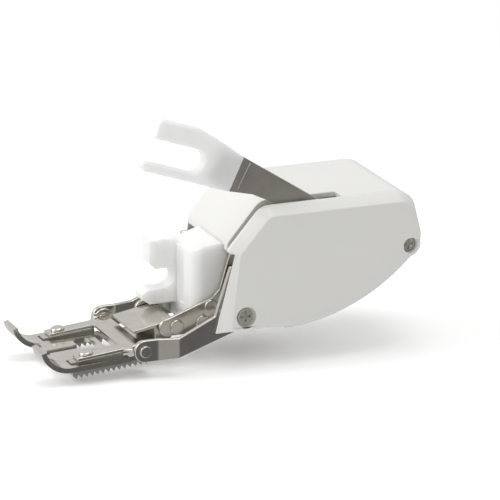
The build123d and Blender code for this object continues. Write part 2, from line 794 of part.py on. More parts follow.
# Sole bracket: a sloping plate over the crossbar, with two side walls that stand on the sole
bracket_slope = (bracket_web_rear_z - bracket_front_z) / (bracket_web_rear_y - bracket_front_y)
bracket_under_z = bracket_front_z - bracket_sheet
with BuildPart() as bracket:
    with BuildSketch(side(-bracket_half_width)):
        with BuildLine():
            Polyline(
                (bracket_foot_y, sole_top_z),
                (bracket_foot_y, bracket_under_z + bracket_slope * (bracket_foot_y - bracket_front_y)),
                (bracket_front_y, bracket_under_z),
                (bracket_front_y, bracket_front_z),
                (bracket_web_rear_y, bracket_web_rear_z),
                (sole_pivot_y, sole_pivot_z + bracket_ear_radius),
            )
            ThreePointArc(
                (sole_pivot_y, sole_pivot_z + bracket_ear_radius),
                (sole_pivot_y + bracket_ear_radius, sole_pivot_z),
                (sole_pivot_y, sole_pivot_z - bracket_ear_radius),
            )
            Polyline(
                (sole_pivot_y, sole_pivot_z - bracket_ear_radius),
                (sole_rear_y, sole_top_z),
                (bracket_foot_y, sole_top_z),
            )
        make_face()
    extrude(amount=2 * bracket_half_width)
    with BuildSketch(side(-bracket_half_width + bracket_sheet)):
        with BuildLine():
            Polyline(
                (bracket_front_y, sole_top_z - cut_margin),
                (bracket_front_y, bracket_under_z),
                (bracket_web_rear_y, bracket_web_rear_z - bracket_sheet),
                (bracket_web_rear_y, sole_pivot_z + bracket_ear_radius + cut_margin),
                (sole_pivot_y + bracket_ear_radius, sole_pivot_z + bracket_ear_radius + cut_margin),
                (sole_pivot_y + bracket_ear_radius, sole_top_z - cut_margin),
                close=True,
            )
        make_face()
    extrude(amount=2 * (bracket_half_width - bracket_sheet), mode=Mode.SUBTRACT)
    with BuildSketch(side(-bracket_half_width)):
        with Locations((sole_pivot_y, sole_pivot_z)):
            Circle(sole_pin_radius + running_clearance)
    extrude(amount=2 * bracket_half_width, mode=Mode.SUBTRACT)

save(bracket.part.rotate(sole_axis, sole_droop), "sole_bracket")

# Lever pivot: pin, long spacer and the coil of the return spring
with BuildPart() as lever_pin:
    with BuildSketch(side(-housing_inner_x)):
        with Locations((lever_pivot_y, lever_pivot_z)):
            Circle(lever_pin_radius)
    extrude(amount=2 * housing_inner_x)

with BuildPart() as spacer:
    with BuildSketch(side(pin_boss_length - housing_inner_x)):
        with Locations((lever_pivot_y, lever_pivot_z)):
            Circle(spacer_radius)
            Circle(lever_pin_radius, mode=Mode.SUBTRACT)
    extrude(amount=lever_inner_x - running_clearance - pin_boss_length + housing_inner_x)

with BuildPart() as lever_spring:
    with BuildSketch(side(lever_inner_x - running_clearance - spring_coil_length)):
        with Locations((lever_pivot_y, lever_pivot_z)):
            Circle(spacer_radius + spring_coil_wire)
            Circle(spacer_radius, mode=Mode.SUBTRACT)
    extrude(amount=spring_coil_length)

save(lever_pin.part, "lever_pivot_pin")
save(spacer.part, "lever_spacer")
save(lever_spring.part, "lever_spring")


def fork_point(along, across):
    """Side point measured from the end of the fork's gap, along its prongs and across them."""
    tilt = radians(fork_tilt)
    return (
        fork_gap_y - along * cos(tilt) + across * sin(tilt),
        fork_gap_z + along * sin(tilt) + across * cos(tilt),
    )


# Fork lever: stamped plate with a hub, a tongue inside the fork and a nose that presses the web
half_gap = fork_gap / 2
joint_top = fork_point(-fork_root_top, fork_root_rise)
joint_low = fork_point(-fork_root_low, -half_gap - lower_prong)
with BuildSketch(Plane.XY) as tongue:
    with BuildLine():
        Polyline(
            joint_top,
            fork_point(tongue_length - fork_root_top, fork_root_rise),
            fork_point(tongue_length - fork_root_low, -tongue_drop),
            joint_low,
            close=True,
        )
    make_face()

with BuildPart() as lever:
    with BuildSketch(side(lever_inner_x)):
        with BuildLine():
            Polyline(
                joint_top,
                (lever_shoulder_y, lever_shoulder_z),
                (lever_pivot_y, lever_pivot_z + hub_radius),
                (lever_pivot_y, lever_pivot_z),
                (lever_throat_y, lever_throat_z),
                (lever_chin_y, lever_chin_z),
                joint_low,
                close=True,
            )
        make_face()
        add(tongue.sketch)
        with Locations((lever_pivot_y, lever_pivot_z)):
            Circle(hub_radius)
        with Locations(Location((lever_pivot_y, lever_pivot_z), nose_angle)):
            Rectangle(nose_arm, 2 * nose_radius, align=(Align.MIN, Align.CENTER))
            with Locations((nose_arm, 0)):
                Circle(nose_radius)
        with Locations((lever_pivot_y, lever_pivot_z)):
            Circle(lever_pin_radius + running_clearance, mode=Mode.SUBTRACT)
    extrude(amount=lever_sheet)

save(lever.part, "fork_lever")

# Nylon fork moulded on the lever's tongue
with BuildPart() as fork:
    with BuildSketch(side(fork_centre_x - fork_thickness / 2)) as fork_side:
        with BuildLine():
            Polyline(
                fork_point(0, half_gap),
                fork_point(upper_prong_length, half_gap),
                fork_point(upper_prong_length, half_gap + upper_prong),
                fork_point(0, half_gap + upper_prong),
                fork_point(-fork_shoulder, half_gap + upper_prong - fork_shoulder_drop),
                joint_top,
                joint_low,
                fork_point(lower_prong_length - lower_prong_slant, -half_gap - lower_prong),
                fork_point(lower_prong_length, -half_gap),
                fork_point(0, -half_gap),
            )
            ThreePointArc(fork_point(0, -half_gap), fork_point(-half_gap, 0), fork_point(0, half_gap))
        make_face()
        tips = fork_side.vertices().sort_by(Axis.X)[:4]
        fillet(tips, prong_corner_radius)
    extrude(amount=fork_thickness)
    fork_faces = fork.faces().sort_by(Axis.X)
    fillet(fork_faces[0].edges() + fork_faces[-1].edges(), fork_edge_radius)
    with BuildSketch(side(lever_inner_x)):
        add(tongue.sketch)
    extrude(amount=lever_sheet, mode=Mode.SUBTRACT)

save(fork.part, "fork_tip")
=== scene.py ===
# %% [markdown]
# # A walking presser foot, dressed from its engineering solids
#
# The object is a walking foot for a sewing machine: a white moulded housing, a milky nylon fork
# and holder, and a nest of bright nickel sheet metal in front. The solids come from the packed
# model and are never moved. This lesson gives each of them its real finish and softens its edges.
# For four of them, the cover, the holder, a screw and the fork, a copy with some corners moved
# stands in. Last come the lever's crease and the wound springs, which the solids leave out.

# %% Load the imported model
import json
from math import cos, pi, radians, sin

import bmesh
import bpy
from mathutils import Matrix, Vector


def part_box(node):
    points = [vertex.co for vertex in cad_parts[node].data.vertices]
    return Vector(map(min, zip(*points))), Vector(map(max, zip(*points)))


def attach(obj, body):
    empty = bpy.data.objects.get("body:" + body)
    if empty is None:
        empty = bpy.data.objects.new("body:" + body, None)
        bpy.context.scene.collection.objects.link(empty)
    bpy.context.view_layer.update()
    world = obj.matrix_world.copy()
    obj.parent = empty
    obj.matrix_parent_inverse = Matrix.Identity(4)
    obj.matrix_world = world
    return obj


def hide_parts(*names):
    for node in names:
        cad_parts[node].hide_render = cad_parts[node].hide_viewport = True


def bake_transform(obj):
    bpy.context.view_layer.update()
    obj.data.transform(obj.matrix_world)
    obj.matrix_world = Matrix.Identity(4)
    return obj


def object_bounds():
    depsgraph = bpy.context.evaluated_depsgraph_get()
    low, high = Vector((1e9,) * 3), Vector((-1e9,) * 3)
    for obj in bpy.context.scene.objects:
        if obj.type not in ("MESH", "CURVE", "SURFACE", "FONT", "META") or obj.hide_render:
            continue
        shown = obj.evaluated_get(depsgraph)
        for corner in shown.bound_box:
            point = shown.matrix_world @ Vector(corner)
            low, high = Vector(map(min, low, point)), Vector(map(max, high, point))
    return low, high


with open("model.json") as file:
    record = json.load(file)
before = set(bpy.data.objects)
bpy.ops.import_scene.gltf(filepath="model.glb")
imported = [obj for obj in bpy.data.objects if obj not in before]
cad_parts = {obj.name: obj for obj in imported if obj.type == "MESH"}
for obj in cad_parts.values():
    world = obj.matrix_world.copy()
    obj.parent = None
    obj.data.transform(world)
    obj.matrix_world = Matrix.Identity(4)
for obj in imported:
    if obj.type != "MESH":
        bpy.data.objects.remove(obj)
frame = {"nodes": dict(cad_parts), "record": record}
nodes = frame["nodes"]
solid_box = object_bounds()
MM = 0.001
box_mm = [[round(value / MM, 1) for value in corner] for corner in solid_box]
print("nodes:", len(nodes), "box in mm:", box_mm)

# %% [markdown]
# ## Camera
#
# The photograph is a product shot with a long lens: vertical edges stay vertical, and lines to
# the left converge only a little. Two directions fix the view, because the crossbar and the
# housing's top edge slope by different amounts. The presser-bar axis, which is the origin of
# the frame, lands a little left of the middle of the picture.

# %% Find the view
picture_size = 500
view_azimuth = radians(68.0)
view_elevation = radians(17.0)
pixels_per_mm = 5.1
origin_in_picture = (169.0, 282.0)
lens_mm = 320.0
sensor_mm = 36.0

right_way = Vector((cos(view_azimuth), sin(view_azimuth), 0))
look_way = Vector((
    -sin(view_azimuth) * cos(view_elevation),
    cos(view_azimuth) * cos(view_elevation),
    -sin(view_elevation),
))
up_way = right_way.cross(look_way)
half_picture = picture_size / 2
aim = (
    right_way * (half_picture - origin_in_picture[0])
    + up_way * (origin_in_picture[1] - half_picture)
) * (MM / pixels_per_mm)
distance = lens_mm / sensor_mm * picture_size / pixels_per_mm * MM
print("camera", round(distance, 3), "m away")

# %% Place the camera
scene = bpy.context.scene
camera_data = bpy.data.cameras.new("photo_camera")
camera_data.lens = lens_mm
camera_data.sensor_width = sensor_mm
camera_data.clip_start = 0.01
camera_data.clip_end = 20.0
camera = bpy.data.objects.new("photo_camera", camera_data)
turn = Matrix((right_way, up_way, -look_way)).transposed().to_4x4()
camera.matrix_world = Matrix.Translation(aim - look_way * distance) @ turn
scene.collection.objects.link(camera)
scene.camera = camera
scene.view_settings.view_transform = "Standard"
print("camera at", [round(value, 3) for value in camera.matrix_world.translation])

# %% [markdown]
# ## Floor
#
# The picture has a pure white ground. A floor that only reflects light is never quite white, so
# the floor also shines a little by itself, but only for rays from the camera and for mirrored or
# refracted ones. It lights nothing that way, and it keeps the object's soft shadow.

# %% Lay the floor
floor_half = 3.0
floor_drop = 0.5 * MM
floor_z = solid_box[0][2] - floor_drop
floor_corners = [
    (x * floor_half, y * floor_half, floor_z) for x, y in ((-1, -1), (1, -1), (1, 1), (-1, 1))
]
floor_mesh = bpy.data.meshes.new("floor")
floor_mesh.from_pydata(floor_corners, [], [(0, 1, 2, 3)])
floor = bpy.data.objects.new("floor", floor_mesh)
floor.visible_glossy = False
scene.collection.objects.link(floor)
print("floor at", round(floor_z / MM, 2), "mm")

# %% Make the floor white
floor_white = (0.97, 0.97, 0.97, 1)
floor_glow = 0.15


def new_material(name):
    """An empty node material, its tree and its Principled shader."""
    material = bpy.data.materials.new(name)
    material.use_nodes = True
    tree = material.node_tree
    return material, tree, tree.nodes["Principled BSDF"]


floor_finish, floor_tree, floor_shader = new_material("pale_floor")
floor_shader.inputs["Base Color"].default_value = floor_white
floor_shader.inputs["Roughness"].default_value = 0.9
floor_shader.inputs["Specular IOR Level"].default_value = 0.1
floor_shader.inputs["Emission Color"].default_value = (1, 1, 1, 1)
ray_kind = floor_tree.nodes.new("ShaderNodeLightPath")
seen = ray_kind.outputs["Is Camera Ray"]
for other_ray in ("Is Glossy Ray", "Is Transmission Ray"):
    either = floor_tree.nodes.new("ShaderNodeMath")
    either.operation = "MAXIMUM"
    floor_tree.links.new(seen, either.inputs[0])
    floor_tree.links.new(ray_kind.outputs[other_ray], either.inputs[1])
    seen = either.outputs["Value"]
glow = floor_tree.nodes.new("ShaderNodeMath")
glow.operation = "MULTIPLY"
glow.inputs[1].default_value = floor_glow
floor_tree.links.new(seen, glow.inputs[0])
floor_tree.links.new(glow.outputs["Value"], floor_shader.inputs["Emission Strength"])
floor_mesh.materials.append(floor_finish)
print("floor finish:", floor_finish.name)

# %% [markdown]
# ## Light
#
# The light is soft, from above, the front and the left. The big right-hand panel is a pale grey,
# and sheet metal that faces the same way is nearly black. So the room is white all round, except
# for a dark corner behind on the right, drawn as shades of the angle to that corner. A large lamp
# in front on the left gives the fork and the holder their roundness, and one overhead lights the
# top of the housing.

# %% Light the room
dark_corner_way = Vector((0.75, 0.6, -0.25)).normalized()
room_shades = ((0.0, 1.0), (0.5, 0.86), (0.74, 0.55), (0.93, 0.2))
room_strength = 0.70

world = bpy.data.worlds.new("studio")
scene.world = world
world.use_nodes = True
room = world.node_tree
room_light = room.nodes["Background"]
room_light.inputs["Strength"].default_value = room_strength
looking = room.nodes.new("ShaderNodeTexCoord")
towards_corner = room.nodes.new("ShaderNodeVectorMath")
towards_corner.operation = "DOT_PRODUCT"
towards_corner.inputs[1].default_value = dark_corner_way
shades = room.nodes.new("ShaderNodeValToRGB")
ramp = shades.color_ramp.elements
while len(ramp) < len(room_shades):
    ramp.new(room_shades[1][0])
for stop, (position, level) in zip(ramp, room_shades):
    stop.position = position
    stop.color = (level, level, level, 1)
room.links.new(looking.outputs["Generated"], towards_corner.inputs[0])
room.links.new(towards_corner.outputs["Value"], shades.inputs[0])
room.links.new(shades.outputs[0], room_light.inputs["Color"])
print("room shades:", len(ramp))

# %% Hang the lamps
middle = (Vector(solid_box[0]) + Vector(solid_box[1])) / 2
lamp_size = 0.3
front_offset = Vector((-0.14, -0.38, 0.28))
front_watts = 0.9
top_offset = Vector((0.04, 0.02, 0.45))
top_watts = 0.6


def soft_lamp(name, offset, watts):
    """A square area lamp at an offset from the object's middle, turned to that middle."""
    data = bpy.data.lights.new(name, "AREA")
    data.size = lamp_size
    data.energy = watts
    lamp = bpy.data.objects.new(name, data)
    lamp.location = middle + offset
    lamp.rotation_euler = (-offset).to_track_quat("-Z", "Y").to_euler()
    scene.collection.objects.link(lamp)
    print("lamp", name, round(offset.length, 2), "m away")


soft_lamp("front_softbox", front_offset, front_watts)
soft_lamp("top_softbox", top_offset, top_watts)

# %% [markdown]
# ## Shared surface effects
#
# Four things happen on most surfaces of the foot, so each is one node group. Moulded and plated
# faces are a little uneven. Rolled sheet has a fine grain along its length. Edges are worn, and
# get a painted highlight. Corners and recesses get painted shade. A group puts out only colours,
# masks and heights, and each material decides what to do with them.

# %% Unevenness: a slow drift of colour and gloss, and a fine height
FLOAT, COLOUR = "NodeSocketFloat", "NodeSocketColor"


def shader_group(name, takes, gives):
    """A shader node group with named sockets, with its input node and its output node."""
    group = bpy.data.node_groups.new(name, "ShaderNodeTree")
    for socket, kind in takes:
        group.interface.new_socket(name=socket, in_out="INPUT", socket_type=kind)
    for socket, kind in gives:
        group.interface.new_socket(name=socket, in_out="OUTPUT", socket_type=kind)
    return group, group.nodes.new("NodeGroupInput"), group.nodes.new("NodeGroupOutput")


uneven, uneven_in, uneven_out = shader_group(
    "surface_unevenness",
    [("Base Color", COLOUR), ("Drift Amount", FLOAT), ("Drift Scale", FLOAT), ("Fine Scale", FLOAT),
     ("Low Roughness", FLOAT), ("High Roughness", FLOAT)],
    [("Color", COLOUR), ("Roughness", FLOAT), ("Height", FLOAT)],
)
place = uneven.nodes.new("ShaderNodeTexCoord")
drift = uneven.nodes.new("ShaderNodeTexNoise")
fine = uneven.nodes.new("ShaderNodeTexNoise")
fine.inputs["Detail"].default_value = 4.0
dim = uneven.nodes.new("ShaderNodeMix")
dim.data_type = "RGBA"
dim.blend_type = "MULTIPLY"
gloss = uneven.nodes.new("ShaderNodeMapRange")
for source, target in (
    (place.outputs["Object"], drift.inputs["Vector"]),
    (place.outputs["Object"], fine.inputs["Vector"]),
    (uneven_in.outputs["Drift Scale"], drift.inputs["Scale"]),
    (uneven_in.outputs["Fine Scale"], fine.inputs["Scale"]),
    (uneven_in.outputs["Base Color"], dim.inputs["A"]),
    (drift.outputs["Fac"], dim.inputs["B"]),
    (uneven_in.outputs["Drift Amount"], dim.inputs["Factor"]),
    (drift.outputs["Fac"], gloss.inputs["Value"]),
    (uneven_in.outputs["Low Roughness"], gloss.inputs["To Min"]),
    (uneven_in.outputs["High Roughness"], gloss.inputs["To Max"]),
    (dim.outputs["Result"], uneven_out.inputs["Color"]),
    (gloss.outputs["Result"], uneven_out.inputs["Roughness"]),
    (fine.outputs["Fac"], uneven_out.inputs["Height"]),
):
    uneven.links.new(source, target)
print("unevenness sockets:", len(uneven.interface.items_tree))

# %% Rolled grain: noise stretched along the sheet
grain, grain_in, grain_out = shader_group(
    "rolled_grain", [("Along", FLOAT), ("Across", FLOAT)], [("Streak", FLOAT)]
)
sheet_place = grain.nodes.new("ShaderNodeTexCoord")
sheet_scale = grain.nodes.new("ShaderNodeCombineXYZ")
stretch = grain.nodes.new("ShaderNodeVectorMath")
stretch.operation = "MULTIPLY"
streaks = grain.nodes.new("ShaderNodeTexNoise")
streaks.inputs["Scale"].default_value = 1.0
streaks.inputs["Detail"].default_value = 3.0
for source, target in (
    (grain_in.outputs["Across"], sheet_scale.inputs["X"]),
    (grain_in.outputs["Along"], sheet_scale.inputs["Y"]),
    (grain_in.outputs["Across"], sheet_scale.inputs["Z"]),
    (sheet_place.outputs["Object"], stretch.inputs[0]),
    (sheet_scale.outputs["Vector"], stretch.inputs[1]),
    (stretch.outputs["Vector"], streaks.inputs["Vector"]),
    (streaks.outputs["Fac"], grain_out.inputs["Streak"]),
):
    grain.links.new(source, target)
print("grain sockets:", len(grain.interface.items_tree))

# %% Worn edges with a painted highlight: where a rounded normal leaves the true one
edge_begins = 0.98
edge_full = 0.75

# This mask marks worn edges, and the materials paint a highlight there.
worn_edge_highlight, worn_edge_highlight_in, worn_edge_highlight_out = shader_group("worn_edges_painted_highlight", [("Radius", FLOAT)], [("Edge", FLOAT)])
rounded = worn_edge_highlight.nodes.new("ShaderNodeBevel")
rounded.samples = 6
true_face = worn_edge_highlight.nodes.new("ShaderNodeNewGeometry")
agree = worn_edge_highlight.nodes.new("ShaderNodeVectorMath")
agree.operation = "DOT_PRODUCT"
edge_mask = worn_edge_highlight.nodes.new("ShaderNodeMapRange")
edge_mask.inputs["From Min"].default_value = edge_begins
edge_mask.inputs["From Max"].default_value = edge_full
for source, target in (
    (worn_edge_highlight_in.outputs["Radius"], rounded.inputs["Radius"]),
    (rounded.outputs["Normal"], agree.inputs[0]),
    (true_face.outputs["Normal"], agree.inputs[1]),
    (agree.outputs["Value"], edge_mask.inputs["Value"]),
    (edge_mask.outputs["Result"], worn_edge_highlight_out.inputs["Edge"]),
):
    worn_edge_highlight.links.new(source, target)
print("edge sockets:", len(worn_edge_highlight.interface.items_tree))

# %% Painted shade: where little of the room can be seen
recess_begins = 0.8
recess_full = 0.2

# Where little of the room is seen, the materials paint shade; it is not dirt.
painted_shade, painted_shade_in, painted_shade_out = shader_group("recess_painted_shade", [("Reach", FLOAT)], [("Recess", FLOAT)])
open_sky = painted_shade.nodes.new("ShaderNodeAmbientOcclusion")
open_sky.samples = 8
recess_mask = painted_shade.nodes.new("ShaderNodeMapRange")
recess_mask.inputs["From Min"].default_value = recess_begins
recess_mask.inputs["From Max"].default_value = recess_full
for source, target in (
    (painted_shade_in.outputs["Reach"], open_sky.inputs["Distance"]),
    (open_sky.outputs["AO"], recess_mask.inputs["Value"]),
    (recess_mask.outputs["Result"], painted_shade_out.inputs["Recess"]),
):
    painted_shade.links.new(source, target)
print("grime sockets:", len(painted_shade.interface.items_tree))

# %% [markdown]
# ## Two ways to build a finish
#
# Plastic and metal use the same groups in different ways. On moulded plastic, painted shade
# darkens the recesses and worn edges get a paler painted highlight. On plated sheet, the grain
# changes the gloss and lifts the surface a hair, and worn edges are polished and painted bright.

# %% Small steps that both use
bump_depth = 0.04 * MM


def put_group(tree, group, values):
    """One use of a shared group inside a material, with its own values."""
    use = tree.nodes.new("ShaderNodeGroup")
    use.node_tree = group
    for socket, value in values.items():
        use.inputs[socket].default_value = value
    return use


def tint(tree, mask, start, colour):
    """Blend from a varying colour to a fixed one, by a mask."""
    blend = tree.nodes.new("ShaderNodeMix")
    blend.data_type = "RGBA"
    tree.links.new(mask, blend.inputs["Factor"])
    tree.links.new(start, blend.inputs["A"])
    blend.inputs["B"].default_value = (*colour, 1)
    return blend.outputs["Result"]


def combine(tree, operation, first, second, third=0.0):
    """One sum on varying numbers; the last two may be fixed."""
    step = tree.nodes.new("ShaderNodeMath")
    step.operation = operation
    for socket, value in zip(step.inputs, (first, second, third)):
        if isinstance(value, float):
            socket.default_value = value
        else:
            tree.links.new(value, socket)
    return step.outputs["Value"]


def raise_surface(tree, shader, height, strength):
    """Turn a height into the shader's normal."""
    relief = tree.nodes.new("ShaderNodeBump")
    relief.inputs["Strength"].default_value = strength
    relief.inputs["Distance"].default_value = bump_depth
    tree.links.new(height, relief.inputs["Height"])
    tree.links.new(relief.outputs["Normal"], shader.inputs["Normal"])


print("bumps up to", round(bump_depth / MM, 3), "mm")

# %% Moulded plastic
plastic_drift = 0.04
plastic_edge = 0.3 * MM
plastic_recess = 1.2 * MM
edge_highlight_share = 0.6
painted_shade_share = 0.35


def moulded_plastic(name, colour, worn_highlight_colour, painted_shade_colour, roughness, scales, bump):
    """Plastic with slow drift, fine mould texture, a painted highlight on worn edges and painted
    shade in recesses.
    """
    material, tree, shader = new_material(name)
    body = put_group(tree, uneven, {
        "Base Color": (*colour, 1), "Drift Amount": plastic_drift,
        "Drift Scale": scales[0], "Fine Scale": scales[1],
        "Low Roughness": roughness[0], "High Roughness": roughness[1],
    })
    edge = put_group(tree, worn_edge_highlight, {"Radius": plastic_edge})
    recess = put_group(tree, painted_shade, {"Reach": plastic_recess})
    # Worn edges get a paler painted highlight, and recesses get painted shade.
    pale_edge_highlight = combine(tree, "MULTIPLY", edge.outputs["Edge"], edge_highlight_share)
    faint_painted_shade = combine(tree, "MULTIPLY", recess.outputs["Recess"], painted_shade_share)
    worn = tint(tree, pale_edge_highlight, body.outputs["Color"], worn_highlight_colour)
    tree.links.new(tint(tree, faint_painted_shade, worn, painted_shade_colour), shader.inputs["Base Color"])
    tree.links.new(body.outputs["Roughness"], shader.inputs["Roughness"])
    raise_surface(tree, shader, body.outputs["Height"], bump)
    print("plastic", name)
    return material


# %% Plated metal
metal_drift = 0.2
metal_drift_scale = 320.0
metal_fine_scale = 2200.0
metal_edge = 0.18 * MM
metal_recess = 0.8 * MM
metal_painted_shade = (0.16, 0.14, 0.12)
edge_polish = 0.12
grain_lift = 0.6


def plated_metal(name, colour, worn_highlight_colour, roughness, grain_scale, grain_gloss, bump):
    """Metal with cloudy plating, rolled grain, polished edges with a painted highlight, and painted
    shade in recesses.
    """
    material, tree, shader = new_material(name)
    body = put_group(tree, uneven, {
        "Base Color": (*colour, 1), "Drift Amount": metal_drift,
        "Drift Scale": metal_drift_scale, "Fine Scale": metal_fine_scale,
        "Low Roughness": roughness[0], "High Roughness": roughness[1],
    })
    roll = put_group(tree, grain, {"Along": grain_scale[0], "Across": grain_scale[1]})
    edge = put_group(tree, worn_edge_highlight, {"Radius": metal_edge})
    recess = put_group(tree, painted_shade, {"Reach": metal_recess})
    # Recesses get painted shade, and worn edges get a bright painted highlight.
    faint_painted_shade = combine(tree, "MULTIPLY", recess.outputs["Recess"], painted_shade_share)
    shaded = tint(tree, faint_painted_shade, body.outputs["Color"], metal_painted_shade)
    tree.links.new(tint(tree, edge.outputs["Edge"], shaded, worn_highlight_colour), shader.inputs["Base Color"])
    streak, cloud = roll.outputs["Streak"], body.outputs["Roughness"]
    streaked = combine(tree, "MULTIPLY_ADD", streak, grain_gloss, cloud)
    polish = combine(tree, "MULTIPLY", edge.outputs["Edge"], edge_polish)
    tree.links.new(combine(tree, "SUBTRACT", streaked, polish), shader.inputs["Roughness"])
    surface = combine(tree, "MULTIPLY_ADD", streak, grain_lift, body.outputs["Height"])
    raise_surface(tree, shader, surface, bump)
    shader.inputs["Metallic"].default_value = 1.0
    print("metal", name)
    return material


# %% [markdown]
# ## Finishes
#
# Seven finishes cover the foot. The housing is satin white, a trace warm. The fork and holder are
# natural nylon, which glows because light goes into it. The sheet metal is bright nickel, a warm
# grey. The lever is the same sheet, but duller. Dogs, screws and springs are plain plated steel.

# %% Plastics
# The second and third colours are a painted highlight for worn edges and painted shade for recesses.
housing_white = moulded_plastic(
    "housing_white",
    colour=(0.80, 0.795, 0.765), worn_highlight_colour=(0.85, 0.845, 0.82), painted_shade_colour=(0.50, 0.43, 0.34),
    roughness=(0.32, 0.42), scales=(90.0, 4000.0), bump=0.12,
)
nylon = moulded_plastic(
    "milky_nylon",
    colour=(0.91, 0.91, 0.895), worn_highlight_colour=(0.94, 0.94, 0.93), painted_shade_colour=(0.74, 0.74, 0.72),
    roughness=(0.36, 0.48), scales=(160.0, 2500.0), bump=0.2,
)
nylon_shader = nylon.node_tree.nodes["Principled BSDF"]
nylon_shader.inputs["Subsurface Weight"].default_value = 0.9
nylon_shader.inputs["Subsurface Radius"].default_value = (1.0, 1.0, 1.0)
nylon_shader.inputs["Subsurface Scale"].default_value = 2.2 * MM

# %% Metals
# Each metal's second colour is a bright painted highlight on its worn edges.
nickel = plated_metal(
    "bright_nickel", colour=(0.78, 0.75, 0.69), worn_highlight_colour=(0.92, 0.90, 0.86),
    roughness=(0.04, 0.14), grain_scale=(150.0, 2600.0), grain_gloss=0.14, bump=0.12,
)
lever_steel = plated_metal(
    "lever_steel", colour=(0.60, 0.57, 0.52), worn_highlight_colour=(0.80, 0.78, 0.74),
    roughness=(0.40, 0.52), grain_scale=(300.0, 4000.0), grain_gloss=0.2, bump=1.0,
)
dog_steel = plated_metal(
    "dog_steel", colour=(0.66, 0.64, 0.60), worn_highlight_colour=(0.82, 0.80, 0.77),
    roughness=(0.5, 0.62), grain_scale=(300.0, 2600.0), grain_gloss=0.1, bump=0.15,
)
screw_steel = plated_metal(
    "screw_steel", colour=(0.84, 0.81, 0.75), worn_highlight_colour=(0.92, 0.90, 0.86),
    roughness=(0.5, 0.62), grain_scale=(400.0, 2400.0), grain_gloss=0.1, bump=0.15,
)
spring_steel = plated_metal(
    "spring_steel", colour=(0.48, 0.47, 0.45), worn_highlight_colour=(0.66, 0.65, 0.63),
    roughness=(0.2, 0.3), grain_scale=(500.0, 3000.0), grain_gloss=0.08, bump=0.1,
)

# %% Dress the solids
finish_of_slot = {
    "housing_white": housing_white,
    "nylon": nylon,
    "nickel": nickel,
    "lever_steel": lever_steel,
    "dog_steel": dog_steel,
    "screw_steel": screw_steel,
    "spring_steel": spring_steel,
}
for part in frame["record"]["subparts"]:
    node = nodes[part["node"]]
    node.data.materials.clear()
    node.data.materials.append(finish_of_slot[part["material_slot"]])

# %% [markdown]
# ## Soft edges
#
# No real edge is sharp. Moulded parts have a radius from the tool, and stamped sheet is tumbled
# before plating, so every edge catches a line of light. Modifiers do this without touching the
# solids: weld the corners, join flat facets, round the sharp edges, and then weigh the normals so
# that flat faces still look flat. The folded carrier has shallow bends, so it counts even these
# as edges. The shell has smooth corners of its own, so only its right angles are rounded.

# %% Round the edges of each piece
weld_reach = 1e-6
flat_angle = radians(0.4)
sharp_angle = radians(28)
bend_angle = radians(9)
shell_angle = radians(60)
# Width in mm, steps, the angle that counts as sharp, and whether narrow faces hold the width back.
edge_rounding = {
    "left_housing_shell": (0.25, 3, shell_angle),
    "main_frame": (0.2, 2),
    "feed_carrier": (0.22, 3, bend_angle),
    "dog_frame": (0.2, 3),
    "sole_plate": (0.3, 3, sharp_angle, True),
    "sole_bracket": (0.12, 2),
    "fork_lever": (0.15, 2),
}
small_part_rounding = (0.06, 2)
reshaped_nodes = (
    "right_housing_cover", "presser_bar_holder", "front_cover_screw", "fork_tip",
    "lever_spring", "walk_spring",
)


def soften_edges(piece, width_mm, steps, angle=sharp_angle, clamp=False):
    """Weld, flatten, round and re-weigh a piece; without an angle, only marked edges are rounded."""
    piece.data.shade_smooth()
    piece.modifiers.new("weld_corners", "WELD").merge_threshold = weld_reach
    flatten = piece.modifiers.new("join_facets", "DECIMATE")
    flatten.decimate_type = "DISSOLVE"
    flatten.angle_limit = flat_angle
    rounding = piece.modifiers.new("round_edges", "BEVEL")
    rounding.width = width_mm * MM
    rounding.segments = steps
    if angle is None:
        rounding.limit_method = "WEIGHT"
    else:
        rounding.limit_method = "ANGLE"
        rounding.angle_limit = angle
    rounding.use_clamp_overlap = clamp
    weigh = piece.modifiers.new("weigh_normals", "WEIGHTED_NORMAL")
    weigh.keep_sharp = True


softened = [name for name in nodes if name not in reshaped_nodes]
for name in softened:
    soften_edges(nodes[name], *edge_rounding.get(name, small_part_rounding))
print("softened", len(softened), "pieces")

# %% [markdown]
# ## Copies that can be reshaped
#
# Some small forms of the real foot are missing from the solids. A copy of the solid's mesh can be
# edited corner by corner, and then it stands for the solid. It rides on the same body and has the
# same finish, so everything else stays as it was.

# %% Copy a solid, and let the copy stand for it
tiny = 0.02 * MM


def editable_copy(node_name):
    """A solid's mesh, welded and with its flat facets joined."""
    solid = bmesh.new()
    solid.from_mesh(nodes[node_name].data)
    bmesh.ops.remove_doubles(solid, verts=solid.verts, dist=weld_reach)
    bmesh.ops.dissolve_limit(solid, angle_limit=flat_angle, verts=solid.verts, edges=solid.edges)
    return solid


def stand_for(solid, piece_name, node_name, body, slot, rounding):
    """Make the piece from an edited mesh, put it on its body and let it stand for its solid."""
    mesh = bpy.data.meshes.new(piece_name)
    solid.to_mesh(mesh)
    solid.free()
    piece = bpy.data.objects.new(piece_name, mesh)
    piece.data.materials.append(finish_of_slot[slot])
    scene.collection.objects.link(piece)
    soften_edges(piece, *rounding)
    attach(piece, body)
    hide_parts(node_name)
    print(piece_name, "stands for", node_name)


# %% [markdown]
# ## The cover's soft rim
#
# The right cover is moulded with a broad soft rim, and the engineering model gives it as a plain
# bevel. Here the bevel's inner edge is rounded, and its flatter outer edge is shaded smooth, so
# the normals turn evenly and it looks rolled. On the front lip the flatter edges are rounded too,
# because the lip looks crisp. The lip also leans forward as it goes down, so its foot is moved.

# %% Lean the lip
cover_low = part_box("right_housing_cover")[0]
lip_top_z = 8.5 * MM
lip_back_y = 8.4 * MM
lip_inner_x = 13.8 * MM
lip_reach = 2.4 * MM

